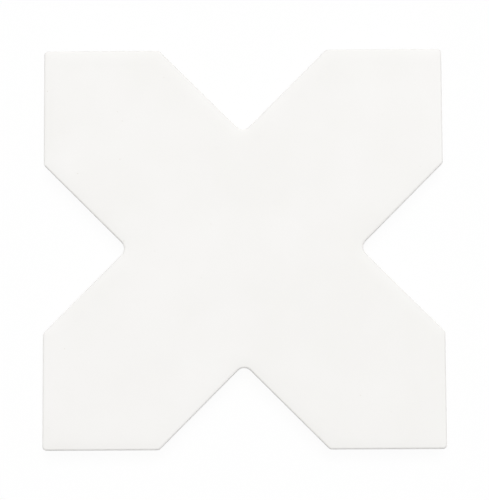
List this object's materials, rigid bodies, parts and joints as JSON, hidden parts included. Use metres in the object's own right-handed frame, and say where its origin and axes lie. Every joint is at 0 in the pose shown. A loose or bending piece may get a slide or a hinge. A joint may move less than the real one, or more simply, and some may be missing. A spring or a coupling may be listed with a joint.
{
  "type": "cross-shaped porcelain tile",
  "caption": "Flat cross-shaped porcelain tile: diagonal arms with square tips, right-angled notches that take a star tile's points, soft-edged matt white face, ribbed back.",
  "frame": {"origin": "middle of the back, on the surface that the tile lies on", "axes": "+Z out of the glazed face, X and Y square to the edges of the arm tips, +Y to the top of the picture"},
  "size_m": [0.12, 0.12, 0.009],
  "materials": {
    "glazed_porcelain": "matte"
  },
  "bodies": {
    "root": {"cross_tile": "glazed_porcelain"}
  },
  "joints": []
}
